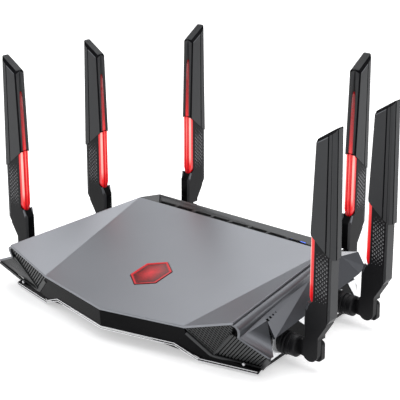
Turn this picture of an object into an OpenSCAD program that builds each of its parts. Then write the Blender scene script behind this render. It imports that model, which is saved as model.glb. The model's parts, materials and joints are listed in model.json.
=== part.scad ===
// Wireless router with a faceted housing and six folding blade antennas.
// Millimetres, +Z up. The origin is on the table, under the middle of the whole outline.
// +Y points to the back, where the sockets and two of the antennas are.

/* [Housing] */
// Half width of the centre panel at its front corners
panel_front_x = 79; // [74:1:84]
// Half width of the centre panel at its back corners
panel_back_x = 108; // [104:1:110]
// Half width of the raised wings at the front
wing_x = 125.7; // [122:0.1:127]
// Height of the front point of the centre panel
prow_z = 30; // [28:0.5:31]
// Height of the centre panel at its front corners
panel_front_z = 32.3; // [31.5:0.1:33.5]
// Height of the wing tips at the front
wing_z = 48.2; // [44:0.1:50]
// Height of the housing at the back
panel_back_z = 57.5; // [54:0.5:60]
// Thickness of the outer skins
skin = 2.2; // [1.6:0.1:2.4]

/* [Antennas] */
// Height of a blade above its hinge pin
blade_h = 185; // [150:1:190]
// Width of a blade at its lower end
blade_w = 21.3; // [19:0.1:22]
// Thickness of a blade
blade_t = 11.4; // [10.6:0.1:12]
// Height of the side antennas' hinge pins above the table
side_pin_z = 16.2; // [15:0.1:18]
// Height of the back antennas' hinge pins above the table
back_pin_z = 29.5; // [28:0.1:32]

/* [Antenna hinges] */
// Radius of a hinge pin
pin_r = 2; // [1.5:0.1:2.4]
// Radius of the shaft that a hinge block swivels on
stub_r = 5; // [4:0.1:5.4]
// Radial clearance of a running fit
running = 0.05; // [0.03:0.01:0.1]
// Gap between faces that slide past each other
face_gap = 0.3; // [0.2:0.05:0.4]

/* [Sockets] */
// Distance between neighbouring network sockets
jack_pitch = 15.5; // [15:0.1:16]
// Width of a network socket's opening
jack_w = 11.8; // [11.7:0.1:12]
// Height of a network socket's opening
jack_h = 8.4; // [8:0.1:8.6]
// Radius of the power inlet's bore, for a 5.5 mm barrel plug
dc_bore_r = 2.85; // [2.8:0.01:2.9]
// Radius of the power inlet's centre contact
dc_pin_r = 1; // [0.9:0.05:1.2]

/* [Hidden] */
$fn = 48;
prow_y = -119.2;
panel_front_y = -105.1;
wing_y = -102.4;
panel_back_y = 46.1;
back_y = 76;
back_z = 46;
floor_z = 2.5;
floor_t = 2;
tub_top_z = 27;
board_z = 10;
board_t = 1.6;
board_top_z = board_z + board_t;
screw_r = 1.4;
screws_xy = [[62, -62], [-62, -62], [62, 36], [-62, 36]];
feet_xy = [[112, -68], [-112, -68], [100, 58], [-100, 58]];
badge_y = -56.5;
badge_half_w = 14.2;
badge_half_l = 21;
slot_count = 8;
slot_pitch = 21.4;
slot_y = 49.4;

// Sockets and buttons along the back, by the x of each centre
jack_xs = [-26, for (i = [0:3]) -4 + i * jack_pitch];
usb_x = 61;
dc_x = -74;
power_x = -57.5;
wps_x = -44;
reset_x = 75;
button_z = 20;
button_r = 3.4;
reset_r = 1.2;

// Blade outline in its own frame: u outwards from the hinge pin, w upwards
barrel_r = 7;
ear_r = 8;
knee_w = 32;
blade_in = -2.8;
blade_out = blade_in + blade_w;
hub_u = -23;
hub_r = 8.8;
hub_l = 9.5;
stub_l = 13;
boss_r = 9.6;
boss_l = 14;
guide_bottom_w = 41;
sleeve_in_w = 97;
sleeve_out_w = 82.5;
groove_half = 1.7;
arm_t = blade_t - 1;

// Each antenna: name, kind (0 side, 1 back), side (1 is +X), hinge pin position
ANTENNAS = [
    ["right_front", 0, 1, [164, -48.9, side_pin_z]],
    ["right_rear", 0, 1, [154.3, 44.1, side_pin_z]],
    ["left_front", 0, -1, [164, -48.9, side_pin_z]],
    ["left_rear", 0, -1, [154.3, 44.1, side_pin_z]],
    ["back_right", 1, 1, [93.7, 100.7, back_pin_z]],
    ["back_left", 1, -1, [93.7, 100.7, back_pin_z]]
];
ANTENNA_PIECES = ["knuckle", "hinge_pin", "arm", "sleeve", "light_guide", "element"];
HOUSING_PIECES = [
    "top_panel", "rear_deck", "shoulder_trims", "side_fin_right", "side_fin_left",
    "corner_grilles", "front_fascia", "bottom_tray", "rear_io_panel", "badge_lens",
    "badge_light_board", "status_light_pipe", "main_board", "heatsink", "rf_shields",
    "ethernet_jacks", "usb_port", "dc_jack", "power_button", "wps_button",
    "reset_button", "antenna_leads", "rubber_feet", "case_screws"
];

function backwards(list) = [for (i = [len(list) - 1 : -1 : 0]) list[i]];
function mirrored_x(points) = [for (p = points) [-p[0], p[1], p[2]]];
function raised(p, dz) = [p[0], p[1], p[2] + dz];

// A folded sheet. facets and rim run anticlockwise as seen from outside, and drop leads inwards.
module sheet(points, facets, rim, drop) {
    n = len(points);
    walls = [
        for (k = [0 : len(rim) - 1])
            let (a = rim[k], b = rim[(k + 1) % len(rim)]) [a, b, b + n, a + n]
    ];
    polyhedron(
        points = concat(points, [for (p = points) p + drop]),
        faces = concat(
            [for (f = facets) backwards(f)],
            [for (f = facets) [for (i = f) i + n]],
            walls
        )
    );
}

// The smallest convex solid around a few points
module convex(points) {
    hull()
        polyhedron(points = points, faces = [[for (i = [0 : len(points) - 1]) i]]);
}

module both_sides() {
    children();
    mirror([1, 0, 0]) children();
}

// A plate cut to an outline in the blade's u-w plane, between two v values
module blade_plate(outline, v_from, v_to) {
    translate([0, v_to, 0])
        rotate([90, 0, 0])
            linear_extrude(height = v_to - v_from) polygon(outline);
}

// A cylinder along v
module cross_cylinder(r, v_from, v_to) {
    translate([0, v_to, 0])
        rotate([90, 0, 0]) cylinder(r = r, h = v_to - v_from);
}

// A cylinder along u
module outward_cylinder(r, u_from, u_to) {
    translate([u_from, 0, 0])
        rotate([0, 90, 0]) cylinder(r = r, h = u_to - u_from);
}

// Puts a piece from the blade's own frame in its place on the router
module at_antenna(antenna) {
    kind = antenna[1];
    side = antenna[2];
    pin = antenna[3];
    if (side > 0) {
        translate(pin) rotate([0, 0, 90 * kind]) children();
    } else {
        mirror([1, 0, 0])
            translate(pin) rotate([0, 0, 90 * kind]) children();
    }
}

// ---- Housing ----

prow = [0, prow_y, prow_z];
front_right = [panel_front_x, panel_front_y, panel_front_z];
wing_right = [wing_x, wing_y, wing_z];
back_right_corner = [panel_back_x, panel_back_y, panel_back_z];
panel_slope = (panel_back_z - panel_front_z) / (panel_back_y - panel_front_y);
function panel_z(y) = panel_front_z + (y - panel_front_y) * panel_slope;

module badge_outline(grow = 0) {
    w = badge_half_w + grow;
    l = badge_half_l + grow;
    polygon([[0, -l], [w, -l / 2], [w, l / 2], [0, l], [-w, l / 2], [-w, -l / 2]]);
}

module badge_solid(grow, from, to) {
    tilt = atan(panel_slope);
    translate([0, badge_y, panel_z(badge_y)])
        rotate([tilt, 0, 0])
            translate([0, 0, from]) linear_extrude(height = to - from) badge_outline(grow);
}

module screw_posts() {
    for (at = screws_xy) {
        post_top = panel_z(at[1]) - skin / 2 - 0.4;
        translate([at[0], at[1], board_top_z + 0.2])
            difference() {
                cylinder(r = 3.4, h = post_top - board_top_z);
                translate([0, 0, -1]) cylinder(r = screw_r + running, h = 10);
            }
    }
}

module top_panel() {
    right = [front_right, wing_right, back_right_corner];
    points = concat([prow], right, backwards(mirrored_x(right)));
    color([0.6, 0.62, 0.65]) {
        difference() {
            sheet(points, [[0, 1, 3, 4, 6], [1, 2, 3], [6, 4, 5]],
                [0, 1, 2, 3, 4, 5, 6], [0, 0, -skin]);
            badge_solid(0.15, -6, 3);
        }
        screw_posts();
    }
}

deck_front = [panel_back_x, panel_back_y + 0.3, panel_back_z];
deck_edge = [100, 65, panel_back_z - 0.3];
deck_low = [103.5, back_y - 0.2, back_z];

module rear_deck() {
    right = [deck_front, deck_edge, deck_low];
    points = concat(right, mirrored_x(right));
    color([0.33, 0.34, 0.36])
        difference() {
            sheet(points, [[3, 0, 1, 4], [4, 1, 2, 5]], [3, 0, 1, 2, 5, 4], [0, 0, -skin]);
            light_slots(0, 8);
        }
}

// The slots of the status lights, or the bars of the light pipe that fill them
module light_slots(gap, depth) {
    slot_l = 17 - 2 * gap;
    slot_w = 3 - 2 * gap;
    for (i = [0 : slot_count - 1])
        translate([
            (i - (slot_count - 1) / 2) * slot_pitch - slot_l / 2,
            slot_y - slot_w / 2,
            panel_back_z - depth
        ])
            cube([slot_l, slot_w, depth + (gap == 0 ? 3 : -0.7)]);
}

cove_front = [129.5, -98.6, 35];
cove_mid = [126.3, -65, 40.5];
cove_rear = [119, 7, 50.3];
cove_end = [109.5, 50, 51.5];

module shoulder_right() {
    start = 0.02;
    under = -skin - 0.15;
    top_front = raised(wing_right * (1 - start) + back_right_corner * start, under) + [0.3, 0, 0];
    top_back = raised(back_right_corner, under) + [0.3, 0, 0];
    low_front = cove_front * 0.92 + cove_mid * 0.08;
    points = [
        low_front + [0.2, 0, 1], cove_mid + [0.2, 0, 1], cove_rear + [0.2, 0, 1],
        cove_end + [0.2, 0, 1], top_back, top_front
    ];
    sheet(points, [[0, 1, 5], [1, 2, 5], [2, 4, 5], [2, 3, 4]], [0, 1, 2, 3, 4, 5],
        [-1.6, 0, -1.6]);
}

module shoulder_trims() {
    color([0.38, 0.39, 0.42]) both_sides() shoulder_right();
}

fin_tip = [155, -92.5, 23.5];
fin_heel = [153, -86, 22];
slit_top = [131, -65.7, 38];
blade_front = [146, -75, 31];
blade_back = [118.5, 83, 28];
fin_back = [109.5, 66, 47];
tail_low = [118.5, 91, 32];
tail_high = [111.5, 90, 44.5];
tail_front = [107.5, 64, 51.5];
crease_back = [120.2, 5.3, 46.8];

module side_fin() {
    points = [
        cove_front, fin_tip, fin_heel, slit_top, blade_front, blade_back, tail_low,
        tail_high, tail_front, cove_end, cove_rear, cove_mid, crease_back, fin_back
    ];
    facets = [
        [0, 1, 2], [0, 2, 3], [0, 3, 11], [11, 3, 12], [3, 4, 12], [4, 5, 12],
        [5, 13, 12], [5, 6, 13], [6, 7, 13], [7, 8, 13], [8, 9, 13], [13, 9, 12],
        [9, 10, 12], [10, 11, 12]
    ];
    sheet(points, facets, [for (i = [0 : 11]) i], [-1.6, 0, -1.2]);
}

module side_fin_right() {
    color([0.45, 0.46, 0.49]) side_fin();
}

module side_fin_left() {
    color([0.45, 0.46, 0.49]) mirror([1, 0, 0]) side_fin();
}

grille_outer_low = [137.5, -80, 4.5];
grille_inner_low = [99, -95, 9.5];
grille_inner_mid = [80.5, -104, 26.5];

module corner_grille_right() {
    points = [
        grille_inner_low, grille_outer_low, [137, -99, 28.5], cove_front + [0.2, -0.6, -3.1],
        raised(wing_right, -skin - 0.6) + [-0.3, 0.2, 0],
        raised(front_right, -skin - 0.6) + [0, 0.2, 0], grille_inner_mid
    ];
    louvre_count = 9;
    difference() {
        sheet(points, [[0, 1, 2], [0, 2, 3], [0, 3, 4], [0, 4, 5], [0, 5, 6]],
            [0, 1, 2, 3, 4, 5, 6], [0, 2, 0.4]);
        for (i = [0 : louvre_count - 1])
            translate([107.5 + i * 3.2, -100, 8.5 - i * 0.35])
                rotate([-22, 14, 0]) cube([1.4, 25, 14.5]);
    }
}

module corner_grilles() {
    color([0.1, 0.1, 0.11]) both_sides() corner_grille_right();
}

arch_outer = [67, -103, 11];
foot_inner = [87.5, -96.4, 4];

module front_fascia() {
    right = [
        arch_outer, foot_inner, grille_inner_low + [-0.3, 0, 0],
        grille_inner_mid + [-0.3, 0, 0], raised(front_right, -skin - 0.2)
    ];
    points = concat(
        [[0, prow_y + 1.2, 11]], right, [raised(prow, -skin - 0.2)], backwards(mirrored_x(right))
    );
    facets = [
        [0, 1, 6], [1, 5, 6], [1, 4, 5], [1, 3, 4], [1, 2, 3],
        [0, 6, 11], [11, 6, 7], [11, 7, 8], [11, 8, 9], [11, 9, 10]
    ];
    color([0.03, 0.03, 0.04])
        sheet(points, facets, [0, 1, 2, 3, 4, 5, 6, 7, 8, 9, 10, 11], [0, 1.8, 0]);
}

tray_right = [
    [88, -93], [134, -82], [136.5, -77], [133.5, -40], [126.5, 30], [122.5, 74]
];

module tray_outline(inset = 0) {
    right = [for (p = tray_right) [p[0] - inset, p[1]]];
    left = [for (p = backwards(right)) [-p[0], p[1]]];
    polygon(concat(right, left));
}

module tray_foot() {
    convex([
        [138, -85.5, 1.6], [87, -97.6, 1.6], [138, -85.7, 4.2], [87, -97.8, 4.2],
        [135.4, -76, floor_z + 0.4], [96, -91, floor_z + 0.4], [134, -77, 4.2], [97, -92.6, 8]
    ]);
}

module front_ramp() {
    points = [
        [-67, -102.6, 10.6], [0, prow_y + 3, 10.6], [67, -102.6, 10.6],
        [84, -90, floor_z + floor_t - 0.2], [-84, -90, floor_z + floor_t - 0.2]
    ];
    sheet(points, [[0, 1, 2], [0, 2, 3, 4]], [0, 1, 2, 3, 4], [0, 0.4, -1.4]);
}

module swivel_boss() {
    outward_cylinder(boss_r, hub_u - boss_l, hub_u);
}

module swivel_bore() {
    outward_cylinder(stub_r + running, hub_u - boss_l - 6, hub_u + 1);
}

// The two side walls of the tray, seen from above
module tray_walls() {
    wall = 2;
    difference() {
        tray_outline();
        tray_outline(wall);
        translate([-150, -130]) square([300, 54]);
        translate([-150, back_y - 3]) square([300, 20]);
    }
}

module bottom_tray() {
    color([0.06, 0.06, 0.07])
        difference() {
            union() {
                translate([0, 0, floor_z]) linear_extrude(height = floor_t) tray_outline();
                translate([0, 0, floor_z + floor_t - 0.5])
                    linear_extrude(height = tub_top_z - floor_z - floor_t) tray_walls();
                both_sides() tray_foot();
                front_ramp();
                for (i = [0 : 3]) at_antenna(ANTENNAS[i]) swivel_boss();
            }
            for (i = [0 : 3]) at_antenna(ANTENNAS[i]) swivel_bore();
            for (at = screws_xy)
                translate([at[0], at[1], 0]) cylinder(r = screw_r + 0.2, h = 8);
        }
}

module rear_io_panel() {
    panel_t = 1.8;
    panel_top = back_z - 2.6;
    color([0.05, 0.05, 0.06])
        difference() {
            union() {
                translate([-120.5, back_y - 2, floor_z + floor_t + 0.1])
                    cube([241, panel_t, 21.8]);
                convex([for (y = [back_y - 2, back_y - 2 + panel_t])
                    for (p = [[-120.5, 20], [120.5, 20], [103, panel_top], [-103, panel_top]])
                        [p[0], y, p[1]]]);
                for (i = [4, 5]) at_antenna(ANTENNAS[i]) swivel_boss();
            }
            for (i = [4, 5]) at_antenna(ANTENNAS[i]) swivel_bore();
            for (x = jack_xs)
                translate([x - jack_w / 2, back_y - 5, board_top_z + 1.4])
                    cube([jack_w, 10, jack_h]);
            translate([usb_x - 6.7, back_y - 5, board_top_z + 0.4]) cube([13.4, 10, 6.6]);
            translate([dc_x, back_y + 5, board_top_z + 6])
                rotate([90, 0, 0]) cylinder(r = 4.3, h = 10);
            for (x = [power_x, wps_x])
                translate([x, back_y + 5, button_z])
                    rotate([90, 0, 0]) cylinder(r = button_r + 0.3, h = 10);
            translate([reset_x, back_y + 5, button_z])
                rotate([90, 0, 0]) cylinder(r = reset_r + 0.3, h = 10);
        }
}

module badge_lens() {
    color([0.55, 0.05, 0.05]) badge_solid(0, -2, 0.5);
}

module badge_light_board() {
    color([0.1, 0.25, 0.15])
        translate([0, badge_y, panel_z(badge_y)])
            rotate([atan(panel_slope), 0, 0])
                translate([-14, -20, -5]) cube([28, 40, 1.6]);
}

module status_light_pipe() {
    pipe_l = slot_count * slot_pitch - 3;
    color([0.75, 0.85, 0.95]) {
        light_slots(0.15, 5);
        translate([-pipe_l / 2, slot_y - 2, panel_back_z - 7]) cube([pipe_l, 4, 2.6]);
    }
}

module main_board() {
    color([0.05, 0.25, 0.15])
        difference() {
            translate([-100, -76, board_z]) cube([200, 146, board_t]);
            for (at = screws_xy)
                translate([at[0], at[1], 0]) cylinder(r = screw_r + 0.2, h = 20);
        }
}

module heatsink() {
    base = [92, 72, 2.4];
    fin_count = 12;
    fin_pitch = (base[1] - 1.2) / (fin_count - 1);
    color([0.7, 0.7, 0.72])
        translate([-base[0] / 2, -46, board_top_z + 4]) {
            cube(base);
            for (i = [0 : fin_count - 1])
                translate([0, i * fin_pitch, base[2] - 0.2]) cube([base[0], 1.2, 9.2]);
        }
}

module rf_shields() {
    color([0.75, 0.76, 0.78])
        for (x = [-42, 4])
            translate([x, -40, board_top_z]) {
                difference() {
                    cube([38, 60, 4]);
                    translate([0.4, 0.4, -0.4]) cube([37.2, 59.2, 4]);
                }
            }
}

module ethernet_jack() {
    depth = 17;
    difference() {
        translate([-7.4, back_y - 2.2 - depth, board_top_z]) cube([14.8, depth, 13]);
        translate([-jack_w / 2, back_y - 2.2 - 13.5, board_top_z + 1.4])
            cube([jack_w, 20, jack_h]);
    }
}

module ethernet_jacks() {
    color([0.7, 0.7, 0.72])
        for (x = jack_xs) translate([x, 0, 0]) ethernet_jack();
}

module usb_port() {
    depth = 14;
    color([0.72, 0.72, 0.75])
        translate([usb_x, back_y - 2.2 - depth, board_top_z])
            difference() {
                translate([-6.8, 0, 0]) cube([13.6, depth, 7]);
                translate([-6.3, 2, 0.6]) cube([12.6, depth, 5.7]);
            }
}

module dc_jack() {
    depth = 13;
    color([0.08, 0.08, 0.09])
        translate([dc_x, 0, board_top_z]) {
            difference() {
                translate([-4.6, back_y - 2.2 - depth, 0]) cube([9.2, depth, 11]);
                translate([0, back_y, 6]) rotate([90, 0, 0]) cylinder(r = dc_bore_r, h = 12.5);
            }
            translate([0, back_y - 2.6, 6]) rotate([90, 0, 0]) cylinder(r = dc_pin_r, h = 11);
        }
}

// A round push button with a collar behind the panel
module push_button(x, r, proud, stem) {
    translate([x, back_y - 0.2 + proud, button_z])
        rotate([90, 0, 0]) cylinder(r = r, h = proud + 2.3);
    translate([x, back_y - 2.3, button_z])
        rotate([90, 0, 0]) cylinder(r = r + 0.8, h = 1.2);
    translate([x, back_y - 3, button_z])
        rotate([90, 0, 0]) cylinder(r = r * 0.6, h = stem);
}

module power_button() {
    color([0.15, 0.15, 0.16]) push_button(power_x, button_r, 2, 4);
}

module wps_button() {
    color([0.15, 0.15, 0.16]) push_button(wps_x, button_r, 2, 4);
}

module reset_button() {
    color([0.6, 0.1, 0.1]) push_button(reset_x, reset_r, -0.4, 4);
}

// One lead of an antenna inside the housing: out of the swivel bore, then down to the board
module lead(from_u, bend_u, drop) {
    outward_cylinder(0.8, bend_u, from_u);
    translate([bend_u, 0, 0]) sphere(r = 0.8, $fn = 24);
    translate([bend_u, 0, -drop]) cylinder(r = 0.8, h = drop);
}

module antenna_leads() {
    start_u = hub_u - stub_l - 0.4;
    color([0.12, 0.12, 0.13])
        for (antenna = ANTENNAS) {
            is_back = antenna[1] == 1;
            reach = is_back ? hub_u - 26 : 97 - antenna[3][0];
            at_antenna(antenna) lead(start_u, reach, antenna[3][2] - board_top_z);
        }
}

module rubber_feet() {
    color([0.12, 0.12, 0.12])
        for (at = feet_xy)
            translate([at[0], at[1], 0]) cylinder(r = 7, h = floor_z);
}

module case_screws() {
    color([0.55, 0.55, 0.58])
        for (at = screws_xy)
            translate([at[0], at[1], floor_z - 1.4]) {
                cylinder(r = 3, h = 1.4);
                cylinder(r = screw_r, h = 17);
            }
}

// ---- One antenna, in its own frame ----

module knuckle() {
    color([0.09, 0.09, 0.1])
        difference() {
            union() {
                outward_cylinder(hub_r, hub_u + face_gap, hub_u + face_gap + hub_l);
                outward_cylinder(stub_r, hub_u - stub_l, hub_u + face_gap + 1);
                translate([hub_u + hub_l - 1, face_gap / 2, -6.6])
                    cube([-hub_u - hub_l + 1, arm_t / 2 - face_gap / 2, 13.2]);
                cross_cylinder(ear_r, face_gap / 2, arm_t / 2);
            }
            cross_cylinder(pin_r + running, -1, blade_t);
        }
}

module hinge_pin() {
    color([0.6, 0.6, 0.62]) cross_cylinder(pin_r, -arm_t / 2 + 0.6, arm_t / 2 - 0.3);
}

module arm() {
    tongue_top = 12;
    plate = [
        [-barrel_r, tongue_top], [barrel_r, tongue_top], [barrel_r, 15],
        [blade_out - 1, knee_w], [blade_out - 1.4, sleeve_out_w + 6], [0, sleeve_in_w + 3],
        [0.2, guide_bottom_w + 2], [-3.8, guide_bottom_w - 0.5], [-barrel_r, 36]
    ];
    tongue = [[-barrel_r, 0], [barrel_r, 0], [barrel_r, tongue_top + 0.5], [-barrel_r, tongue_top + 0.5]];
    color([0.1, 0.1, 0.11])
        difference() {
            union() {
                blade_plate(plate, -arm_t / 2, arm_t / 2);
                blade_plate(tongue, -arm_t / 2, -face_gap / 2);
                cross_cylinder(barrel_r, -arm_t / 2, -face_gap / 2);
            }
            cross_cylinder(pin_r + 0.02, -blade_t, blade_t);
        }
}

sleeve_outline = [
    [blade_in - 0.5, sleeve_in_w], [blade_out + 2, sleeve_out_w],
    [17.8, blade_h], [-0.6, blade_h - 12]
];

module sleeve() {
    wall = 1.3;
    socket = [
        [-0.2, sleeve_in_w - 8], [blade_out - 1.2, sleeve_out_w - 12],
        [blade_out - 1.2, sleeve_out_w + 6.4], [-0.2, sleeve_in_w + 3.6]
    ];
    chamber = [
        [4, sleeve_in_w + 3], [blade_out - 3.4, sleeve_out_w + 6],
        [12.6, blade_h - 6], [4, blade_h - 12]
    ];
    groove = [
        [blade_in - 2, sleeve_in_w - 5], [1, sleeve_in_w - 5],
        [2.2, blade_h - 16], [blade_in - 2, blade_h - 16]
    ];
    color([0.24, 0.25, 0.26])
        difference() {
            blade_plate(sleeve_outline, -blade_t / 2, blade_t / 2);
            blade_plate(socket, -arm_t / 2 - 0.02, arm_t / 2 + 0.02);
            blade_plate(chamber, -blade_t / 2 + 2 * wall, blade_t / 2 - 2 * wall);
            blade_plate(groove, -groove_half, groove_half);
        }
}

module light_guide() {
    lower = [
        [-3.6, guide_bottom_w], [0, guide_bottom_w + 2.2], [-0.4, sleeve_in_w - 2.2],
        [-2.6, sleeve_in_w - 1]
    ];
    upper = [
        [-2.2, sleeve_in_w - 2], [-0.3, sleeve_in_w - 2.6], [-0.3, sleeve_in_w + 4],
        [0.8, sleeve_in_w + 10], [2, blade_h - 17], [0, blade_h - 17]
    ];
    color([0.95, 0.1, 0.1]) {
        blade_plate(lower, -3.4, 3.4);
        blade_plate(upper, -groove_half + 0.1, groove_half - 0.1);
    }
}

module element() {
    board = [
        [6, sleeve_in_w + 4], [12, sleeve_out_w + 12], [11.4, blade_h - 10], [6, blade_h - 14]
    ];
    color([0.1, 0.35, 0.2]) blade_plate(board, -0.5, 0.5);
}

top_panel();
rear_deck();
shoulder_trims();
side_fin_right();
side_fin_left();
corner_grilles();
front_fascia();
bottom_tray();
rear_io_panel();
badge_lens();
badge_light_board();
status_light_pipe();
main_board();
heatsink();
rf_shields();
ethernet_jacks();
usb_port();
dc_jack();
power_button();
wps_button();
reset_button();
antenna_leads();
rubber_feet();
case_screws();
for (antenna = ANTENNAS) {
    at_antenna(antenna) knuckle();
    at_antenna(antenna) hinge_pin();
    at_antenna(antenna) arm();
    at_antenna(antenna) sleeve();
    at_antenna(antenna) light_guide();
    at_antenna(antenna) element();
}
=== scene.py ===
import json
import math

import bmesh
import bpy
from mathutils import Matrix, Vector


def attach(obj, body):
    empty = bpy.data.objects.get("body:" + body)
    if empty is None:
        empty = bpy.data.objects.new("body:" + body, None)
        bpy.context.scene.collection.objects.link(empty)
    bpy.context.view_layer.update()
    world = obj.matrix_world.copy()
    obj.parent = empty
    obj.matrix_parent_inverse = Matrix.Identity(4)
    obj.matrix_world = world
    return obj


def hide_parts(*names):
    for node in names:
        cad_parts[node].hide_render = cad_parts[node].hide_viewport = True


# The looks of a wireless router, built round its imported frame.
# Shapes are given in millimetres and scaled once, when a piece is made.

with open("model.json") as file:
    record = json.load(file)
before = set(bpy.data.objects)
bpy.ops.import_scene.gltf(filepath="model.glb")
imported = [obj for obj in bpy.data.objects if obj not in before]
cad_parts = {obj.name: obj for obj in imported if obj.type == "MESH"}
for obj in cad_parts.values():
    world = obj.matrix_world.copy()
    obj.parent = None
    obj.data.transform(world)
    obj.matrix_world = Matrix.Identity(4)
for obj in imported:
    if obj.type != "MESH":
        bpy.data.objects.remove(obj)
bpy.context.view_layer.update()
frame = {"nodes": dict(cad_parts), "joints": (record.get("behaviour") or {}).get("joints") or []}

MM = 0.001
HOUSING = "housing"
scene = bpy.context.scene


# ---- Materials ----

def principled(name, colour, roughness, metallic=0.0, coat=0.0, specular=0.5):
    made = bpy.data.materials.new(name)
    made.use_nodes = True
    shader = made.node_tree.nodes["Principled BSDF"]
    shader.inputs["Base Color"].default_value = (*colour, 1)
    shader.inputs["Roughness"].default_value = roughness
    shader.inputs["Metallic"].default_value = metallic
    shader.inputs["Coat Weight"].default_value = coat
    shader.inputs["Coat Roughness"].default_value = 0.12
    shader.inputs["Specular IOR Level"].default_value = specular
    return made, made.node_tree.nodes, made.node_tree.links, shader


def noise(nodes, links, scale, detail, stretch=(1, 1, 1)):
    """Noise that stays with the piece, in its own coordinates."""
    place = nodes.new("ShaderNodeTexCoord")
    mapping = nodes.new("ShaderNodeMapping")
    mapping.inputs["Scale"].default_value = stretch
    texture = nodes.new("ShaderNodeTexNoise")
    texture.inputs["Scale"].default_value = scale
    texture.inputs["Detail"].default_value = detail
    links.new(place.outputs["Object"], mapping.inputs["Vector"])
    links.new(mapping.outputs["Vector"], texture.inputs["Vector"])
    return texture


def ramp(nodes, links, source, stops):
    made = nodes.new("ShaderNodeValToRGB")
    elements = made.color_ramp.elements
    while len(elements) < len(stops):
        elements.new(0.5)
    for element, (position, colour) in zip(elements, stops):
        element.position = position
        element.color = (*colour, 1)
    links.new(source, made.inputs["Fac"])
    return made


def spread(nodes, links, source, low, high):
    """A value that runs from low to high as the source runs over a noise's usual range."""
    made = nodes.new("ShaderNodeMapRange")
    made.inputs["From Min"].default_value = 0.3
    made.inputs["From Max"].default_value = 0.7
    made.inputs["To Min"].default_value = low
    made.inputs["To Max"].default_value = high
    links.new(source, made.inputs["Value"])
    return made


def moulded(name, colour, roughness, tint=0.08, grain=900, bump=0.05, stretch=(1, 1, 1), **more):
    """A finish with a fine grain: its colour drifts, its roughness varies and its surface is textured."""
    made, nodes, links, shader = principled(name, colour, roughness, **more)
    broad = noise(nodes, links, 18, 3, stretch)
    fine = noise(nodes, links, grain, 2, stretch)
    mixed = nodes.new("ShaderNodeMix")
    mixed.inputs["Factor"].default_value = 0.5
    links.new(broad.outputs["Fac"], mixed.inputs["A"])
    links.new(fine.outputs["Fac"], mixed.inputs["B"])
    dark = tuple(c * (1 - tint) for c in colour)
    light = tuple(min(1, c * (1 + tint)) for c in colour)
    tone = ramp(nodes, links, mixed.outputs["Result"], [(0.35, dark), (0.65, light)])
    links.new(tone.outputs["Color"], shader.inputs["Base Color"])
    rough = spread(nodes, links, fine.outputs["Fac"], roughness * 0.88, min(1, roughness * 1.12))
    links.new(rough.outputs["Result"], shader.inputs["Roughness"])
    if bump:
        relief = nodes.new("ShaderNodeBump")
        relief.inputs["Strength"].default_value = bump
        relief.inputs["Distance"].default_value = 0.0002
        links.new(fine.outputs["Fac"], relief.inputs["Height"])
        links.new(relief.outputs["Normal"], shader.inputs["Normal"])
    return made


def glowing(name, stops, strength, roughness=0.15, coat=0.4):
    """Lit acrylic: its colour follows how brightly each part of the piece glows."""
    made, nodes, links, shader = principled(name, stops[0][1], roughness, coat=coat, specular=0.3)
    level = nodes.new("ShaderNodeAttribute")
    level.attribute_name = "glow"
    cloud = noise(nodes, links, 700, 2)
    body = ramp(nodes, links, cloud.outputs["Fac"], [(0.3, stops[0][1]), (0.7, stops[1][1])])
    links.new(body.outputs["Color"], shader.inputs["Base Color"])
    rough = spread(nodes, links, cloud.outputs["Fac"], roughness * 0.85, roughness * 1.15)
    links.new(rough.outputs["Result"], shader.inputs["Roughness"])
    relief = nodes.new("ShaderNodeBump")
    relief.inputs["Strength"].default_value = 0.02
    relief.inputs["Distance"].default_value = 0.0002
    links.new(cloud.outputs["Fac"], relief.inputs["Height"])
    links.new(relief.outputs["Normal"], shader.inputs["Normal"])
    tone = ramp(nodes, links, level.outputs["Fac"], stops)
    links.new(tone.outputs["Color"], shader.inputs["Emission Color"])
    shader.inputs["Emission Strength"].default_value = strength
    return made


SILVER = moulded("silver_paint", (0.235, 0.243, 0.262), 0.42, 0.03, 2600, 0.012, metallic=0.82)
TRIM = moulded("satin_trim", (0.15, 0.155, 0.168), 0.36, 0.03, 700, 0.002, metallic=0.85)
FIN = moulded("fin_paint", (0.125, 0.13, 0.142), 0.32, 0.03, 1800, 0.012, metallic=0.85)
# near-white facets: painted reflections of the white surroundings in glossy black surfaces
PAINTED_REFLECTION = moulded("painted_reflection_facet", (0.92, 0.93, 0.95), 0.30, 0.03, 1800, 0.02, metallic=0.7)
DECK = moulded("deck_grey", (0.060, 0.063, 0.064), 0.40, 0.08, 1800, 0.05, specular=0.4)
BLACK = moulded("matte_black", (0.007, 0.007, 0.008), 0.42, 0.2, 1700, 0.08, specular=0.14)
SATIN_BLACK = moulded("satin_black", (0.010, 0.010, 0.011), 0.38, 0.2, 1500, 0.05, specular=0.13)
GLOSS_BLACK = moulded("gloss_black", (0.004, 0.004, 0.0045), 0.22, 0.3, 60, 0.01, specular=0.04)
GRILLE = moulded("grille_plastic", (0.040, 0.041, 0.042), 0.40, 0.12, 1500, 0.05, specular=0.3)
STUD = moulded("stud_gloss", (0.16, 0.16, 0.165), 0.16, 0.05, 900, 0.01, metallic=0.75)
FRAME_GREY = moulded("grille_frame_plastic", (0.032, 0.033, 0.034), 0.36, 0.1, 1500, 0.05, specular=0.25)
SLEEVE = moulded("sleeve_grey", (0.032, 0.033, 0.035), 0.44, 0.08, 2000, 0.08, specular=0.3)
BEVEL = moulded("bevel_black", (0.004, 0.004, 0.005), 0.22, 0.2, 800, 0.02, specular=0.05)
# near-white lip lines: a painted highlight along the black tray lip's edges
LIP_HIGHLIGHT = moulded("lip_painted_highlight", (0.75, 0.75, 0.76), 0.24, 0.05, 1600, 0.02, metallic=0.75)
RUBBER = moulded("foot_rubber", (0.018, 0.018, 0.018), 0.75, 0.2, 1500, 0.25)
STEEL = moulded("zinc_steel", (0.55, 0.55, 0.57), 0.30, 0.08, 1200, 0.05, (1, 1, 6), metallic=1.0)
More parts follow.
